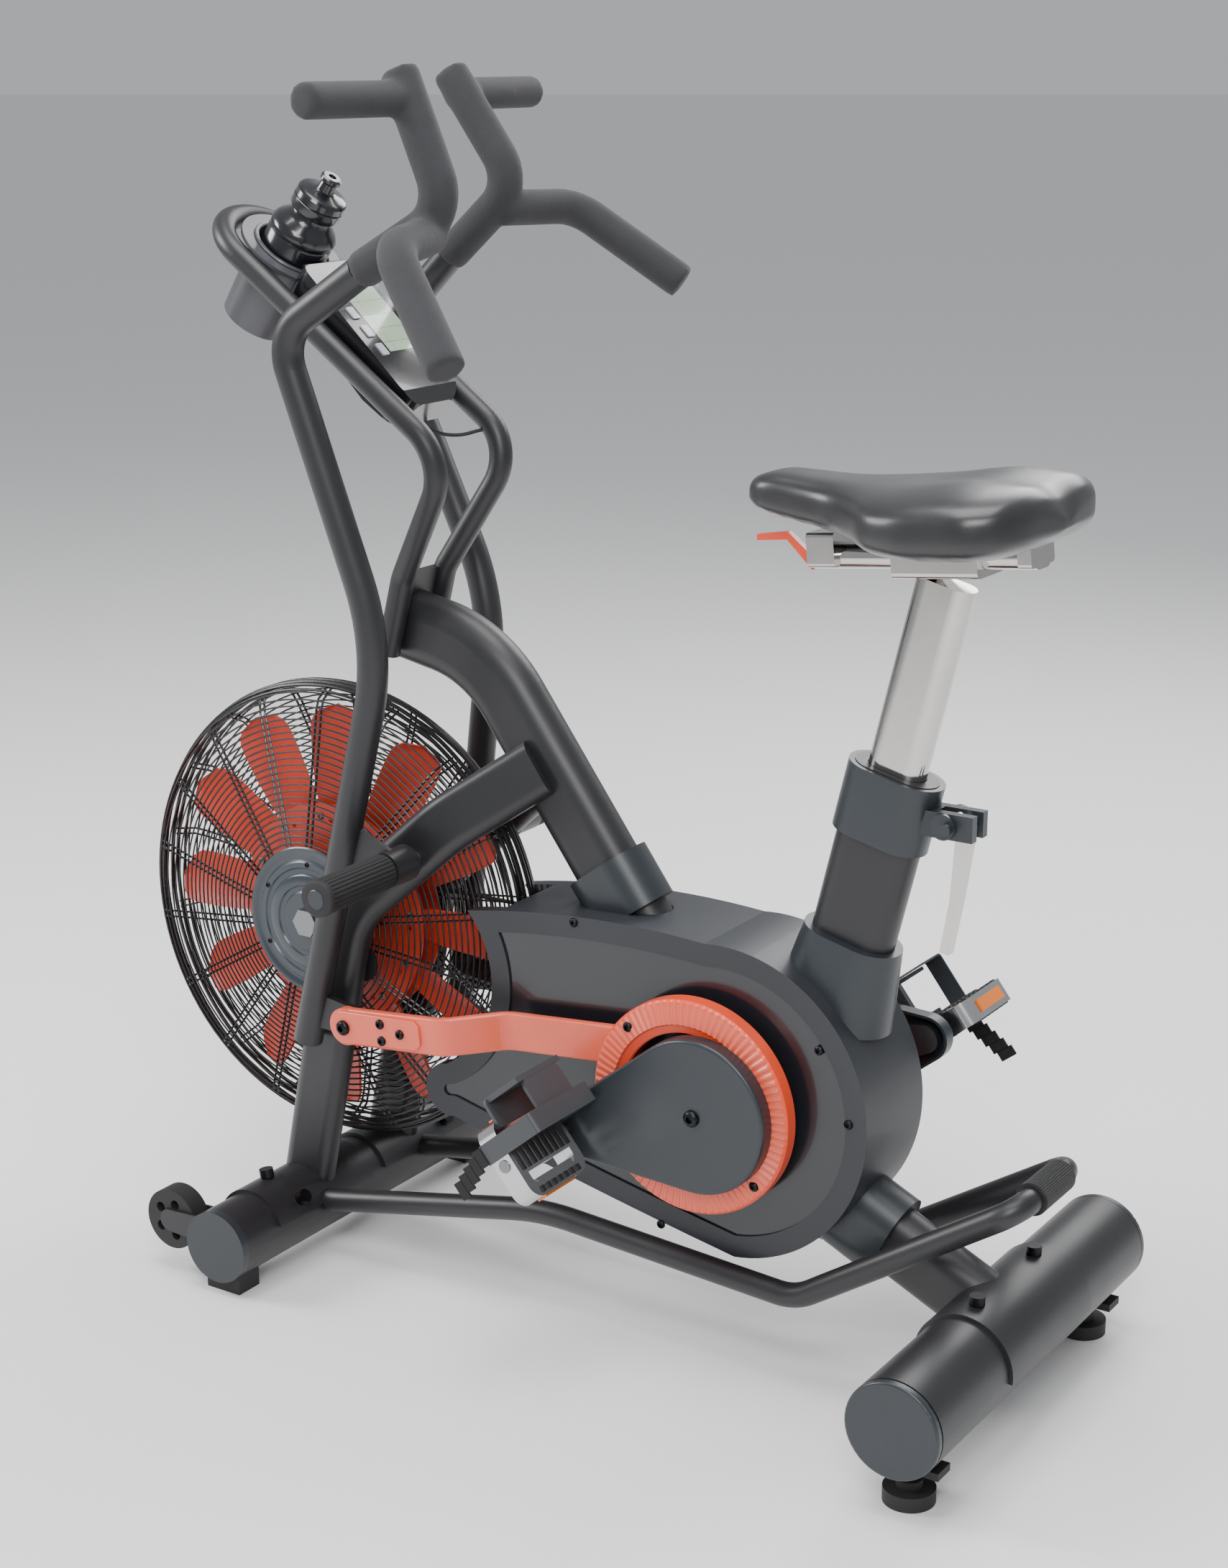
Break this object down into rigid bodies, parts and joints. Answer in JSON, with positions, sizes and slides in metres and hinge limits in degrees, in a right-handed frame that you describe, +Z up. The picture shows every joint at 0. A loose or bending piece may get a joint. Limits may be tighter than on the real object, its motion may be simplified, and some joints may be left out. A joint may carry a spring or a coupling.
{
  "type": "air bike",
  "caption": "Fan-resistance exercise bike with swinging arm levers linked to a cranked wheel, caged fan, casing, height-adjustable saddle, console and bottle cup.",
  "frame": {"origin": "on the floor under the middle of the bike's length, in its middle plane; the fan axle is 314.6 mm in front of it", "axes": "+Z up, -X towards the fan at the front, +X towards the saddle, -Y the rider's left"},
  "size_m": [1.1607, 0.626, 1.3236],
  "materials": {
    "powder_black": "satin powder coat",
    "casing_black": "satin and gloss moulding",
    "graphite": "satin",
    "wire_black": "gloss",
    "rubber": "moulded",
    "foam": "fine-grained foam",
    "vinyl": "satin vinyl",
    "chrome": "polished",
    "steel": "zinc plated",
    "black_steel": "black oxide",
    "fan_red": "satin",
    "coral": "powder coat",
    "red_plastic": "gloss",
    "screen": "gloss",
    "key_silver": "silvered",
    "key_blue": "gloss",
    "pedal_resin": "clear resin and chrome",
    "bottle_black": "gloss",
    "silver_plastic": "satin grey"
  },
  "bodies": {
    "root": {"main_arch": "powder_black", "fork_legs": "powder_black", "front_stabiliser": "powder_black", "rear_stabiliser": "powder_black", "stabiliser_caps": "graphite", "saddle_plates_and_wheel_forks": "powder_black", "floor_pads_and_feet": "rubber", "rear_frame_tube": "powder_black", "seat_tube": "powder_black", "seat_collar": "graphite", "bottom_bracket": "steel", "crank_bearings": "steel", "carry_rail": "powder_black", "carry_grip": "rubber", "housing_left": "casing_black", "housing_right": "casing_black", "housing_boots": "graphite", "cage_left": "wire_black", "cage_right": "wire_black", "hub_covers": "graphite", "axle_brackets": "powder_black", "fan_axle": "steel", "drive_belt": "rubber", "pivot_stubs": "steel", "pivot_pegs": "rubber", "console_mast": "powder_black", "bottle_holder": "silver_plastic", "console_shell": "casing_black", "console_screen": "screen", "console_cable": "rubber", "frame_bolts": "black_steel"},
    "fan": {"fan_hub": "steel", "fan_discs": "fan_red", "fan_blades": "fan_red"},
    "crank": {"crank_axle_and_spindles": "steel", "crank_arms": "steel", "crank_covers": "graphite", "drive_pulley": "steel"},
    "pedal_left": {"pedal_left": "pedal_resin", "toe_cage_left": "graphite"},
    "pedal_right": {"pedal_right": "pedal_resin", "toe_cage_right": "graphite"},
    "arm_left": {"arm_left": "powder_black", "grip_left": "foam"},
    "arm_right": {"arm_right": "powder_black", "grip_right": "foam"},
    "link_left": {"link_left": "coral"},
    "link_right": {"link_right": "coral"},
    "post": {"seat_post": "chrome"},
    "saddle": {"saddle": "vinyl", "saddle_slider": "chrome"},
    "fore_aft_lever": {"fore_aft_lever": "red_plastic"},
    "seat_lever": {"seat_lever": "chrome"},
    "wheel_left": {"transport_wheel_left": "rubber"},
    "wheel_right": {"transport_wheel_right": "rubber"},
    "bottle": {"bottle": "bottle_black"},
    "button_start": {"button_start": "key_blue"},
    "button_mode": {"button_mode": "key_silver"},
    "button_set": {"button_set": "key_silver"},
    "button_reset": {"button_reset": "key_silver"}
  },
  "joints": [
    {"name": "fan_spin", "type": "hinge", "parent": "root", "child": "fan", "pos_m": [-0.3146, 0, 0.386], "axis": [0, 1, 0], "continuous": true},
    {"name": "crank_spin", "type": "hinge", "parent": "root", "child": "crank", "pos_m": [0.2234, 0, 0.29], "axis": [0, 1, 0], "continuous": true},
    {"name": "pedal_left_spin", "type": "hinge", "parent": "crank", "child": "pedal_left", "pos_m": [0.06648, -0.172, 0.23901], "axis": [0, 1, 0], "continuous": true},
    {"name": "pedal_right_spin", "type": "hinge", "parent": "crank", "child": "pedal_right", "pos_m": [0.38032, 0.172, 0.34099], "axis": [0, 1, 0], "continuous": true},
    {"name": "arm_left_swing", "type": "hinge", "parent": "root", "child": "arm_left", "pos_m": [-0.1486, -0.115, 0.494], "axis": [0, 1, 0], "range_deg": [-11.5, 0.5]},
    {"name": "arm_right_swing", "type": "hinge", "parent": "root", "child": "arm_right", "pos_m": [-0.1486, 0.115, 0.494], "axis": [0, 1, 0], "range_deg": [-0.5, 11.5]},
    {"name": "link_left_turn", "type": "hinge", "parent": "arm_left", "child": "link_left", "pos_m": [-0.20958, -0.127, 0.30417], "axis": [0, 1, 0], "range_deg": [-0.6, 10.5]},
    {"name": "link_right_turn", "type": "hinge", "parent": "arm_right", "child": "link_right", "pos_m": [-0.17223, 0.127, 0.29602], "axis": [0, 1, 0], "range_deg": [-10.5, 0.6]},
    {"name": "seat_height", "type": "slide", "parent": "root", "child": "post", "axis": [0.2369, 0, 0.9715], "range_m": [-0.09, 0.09]},
    {"name": "seat_fore_aft", "type": "slide", "parent": "post", "child": "saddle", "axis": [0.9948, 0, 0.1016], "range_m": [-0.03, 0.03]},
    {"name": "fore_aft_lever_lift", "type": "hinge", "parent": "saddle", "child": "fore_aft_lever", "pos_m": [0.2894, 0, 0.8515], "axis": [0, 1, 0], "range_deg": [0, 8], "stiffness_Nm_per_rad": 0.2},
    {"name": "seat_lever_turn", "type": "hinge", "parent": "root", "child": "seat_lever", "pos_m": [0.4534, 0, 0.612], "axis": [0, 1, 0], "range_deg": [-75, 0]},
    {"name": "wheel_left_spin", "type": "hinge", "parent": "root", "child": "wheel_left", "pos_m": [-0.3936, -0.212, 0.064], "axis": [0, 1, 0], "continuous": true},
    {"name": "wheel_right_spin", "type": "hinge", "parent": "root", "child": "wheel_right", "pos_m": [-0.3936, 0.212, 0.064], "axis": [0, 1, 0], "continuous": true},
    {"name": "bottle_lift", "type": "slide", "parent": "root", "child": "bottle", "axis": [0.5891, 0, 0.8081], "range_m": [0, 0.15]},
    {"name": "button_start_press", "type": "slide", "parent": "root", "child": "button_start", "axis": [-0.6837, 0, -0.7297], "range_m": [0, 0.001], "stiffness_N_per_m": 300},
    {"name": "button_mode_press", "type": "slide", "parent": "root", "child": "button_mode", "axis": [-0.6837, 0, -0.7297], "range_m": [0, 0.001], "stiffness_N_per_m": 300},
    {"name": "button_set_press", "type": "slide", "parent": "root", "child": "button_set", "axis": [-0.6837, 0, -0.7297], "range_m": [0, 0.001], "stiffness_N_per_m": 300},
    {"name": "button_reset_press", "type": "slide", "parent": "root", "child": "button_reset", "axis": [-0.6837, 0, -0.7297], "range_m": [0, 0.001], "stiffness_N_per_m": 300}
  ],
  "couplings": [
    {"joint": "fan_spin", "follows": "crank_spin", "ratio": 4},
    {"joint": "arm_right_swing", "follows": "arm_left_swing", "ratio": -1},
    {"joint": "link_left_turn", "follows": "arm_left_swing", "ratio": -0.9},
    {"joint": "link_right_turn", "follows": "arm_left_swing", "ratio": 0.9}
  ]
}
